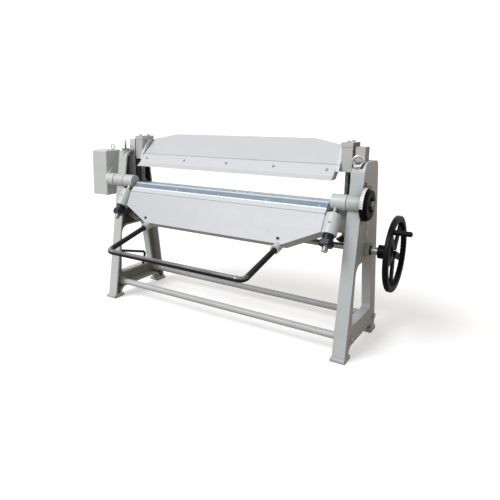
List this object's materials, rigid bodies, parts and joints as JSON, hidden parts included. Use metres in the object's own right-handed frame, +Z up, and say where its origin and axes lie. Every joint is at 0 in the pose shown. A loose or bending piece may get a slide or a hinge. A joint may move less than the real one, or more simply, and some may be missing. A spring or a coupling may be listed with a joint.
{
  "type": "sheet metal folding machine",
  "caption": "Hand operated sheet metal folder: cast side frames, screw-driven clamping beam with a spoked handwheel, and a counterweighted folding beam with a tube handle.",
  "frame": {"origin": "on the floor, midway between the four floor bolt holes of the two side frames", "axes": "+X along the bending line towards the handwheel's end, -Y towards the operator and the handle, +Z up"},
  "size_m": [2.117, 0.93, 1.113],
  "materials": {
    "pale_paint": "satin pale grey machine paint",
    "steel": "ground tool steel",
    "plain_steel": "drawn steel bar",
    "black_steel": "gloss black",
    "dark_steel": "blackened and oiled",
    "iron": "satin pale grey machine paint on cast iron",
    "black_plastic": "moulded, satin black",
    "bronze": "bearing bronze",
    "chrome": "bright plated"
  },
  "bodies": {
    "stand": {"side_frame_left": "iron", "side_frame_right": "iron", "tie_rods": "pale_paint", "tie_rod_bolts": "iron", "table_blade": "steel", "bed_top_plate": "pale_paint", "bed_front_plate": "pale_paint", "bed_rear_plate": "pale_paint", "bed_end_plates": "pale_paint", "screw_bearings": "dark_steel", "guide_bars": "plain_steel", "angle_pointer": "plain_steel", "frame_eye_left": "dark_steel", "frame_eye_right": "chrome", "handle_rest": "black_steel"},
    "clamp_beam": {"clamp_nose": "pale_paint", "clamp_front_plate": "pale_paint", "clamp_bottom_plate": "pale_paint", "clamp_rear_plate": "pale_paint", "clamp_end_plates": "pale_paint", "lifting_blocks": "pale_paint", "lifting_nuts": "bronze", "block_caps": "pale_paint"},
    "screw_left": {"lead_screw_left": "dark_steel", "screw_gear_left": "black_steel"},
    "screw_right": {"lead_screw_right": "dark_steel", "screw_gear_right": "black_steel"},
    "handwheel": {"drive_shaft": "plain_steel", "shaft_gears": "black_steel", "shaft_collar": "black_steel", "handwheel": "black_plastic", "grip_pin": "plain_steel"},
    "crank_grip": {"crank_grip": "black_plastic"},
    "folding_beam": {"folding_strip": "steel", "folding_bar": "pale_paint", "apron": "pale_paint", "apron_ribs": "pale_paint", "pivot_hubs": "pale_paint", "pivot_pins": "plain_steel", "adjusting_sleeves": "pale_paint", "adjusting_nuts": "black_steel", "angle_disc": "black_steel", "disc_nut": "plain_steel", "counterweight_arm": "pale_paint", "counterweight": "iron", "weight_eye": "pale_paint", "handle": "black_steel", "handle_sockets": "pale_paint"}
  },
  "joints": [
    {"name": "fold_hinge", "type": "hinge", "parent": "stand", "child": "folding_beam", "pos_m": [0, -0.141, 0.803], "axis": [-1, 0, 0], "range_deg": [0, 134]},
    {"name": "clamp_slide", "type": "slide", "parent": "stand", "child": "clamp_beam", "axis": [0, 0, -1], "range_m": [0, 0.103]},
    {"name": "screw_left_turn", "type": "hinge", "parent": "stand", "child": "screw_left", "pos_m": [-0.7085, -0.022, 0.545], "axis": [0, 0, 1], "range_deg": [0, 3709]},
    {"name": "screw_right_turn", "type": "hinge", "parent": "stand", "child": "screw_right", "pos_m": [0.7085, -0.022, 0.545], "axis": [0, 0, 1], "range_deg": [0, 3709]},
    {"name": "handwheel_turn", "type": "hinge", "parent": "stand", "child": "handwheel", "pos_m": [0, -0.022, 0.545], "axis": [-1, 0, 0], "range_deg": [0, 3709]},
    {"name": "grip_spin", "type": "hinge", "parent": "handwheel", "child": "crank_grip", "pos_m": [1, -0.12666, 0.67896], "axis": [1, 0, 0], "continuous": true}
  ],
  "couplings": [
    {"joint": "screw_left_turn", "follows": "clamp_slide", "rad_per_m": 628.32},
    {"joint": "screw_right_turn", "follows": "clamp_slide", "rad_per_m": 628.32},
    {"joint": "handwheel_turn", "follows": "clamp_slide", "rad_per_m": 628.32}
  ]
}
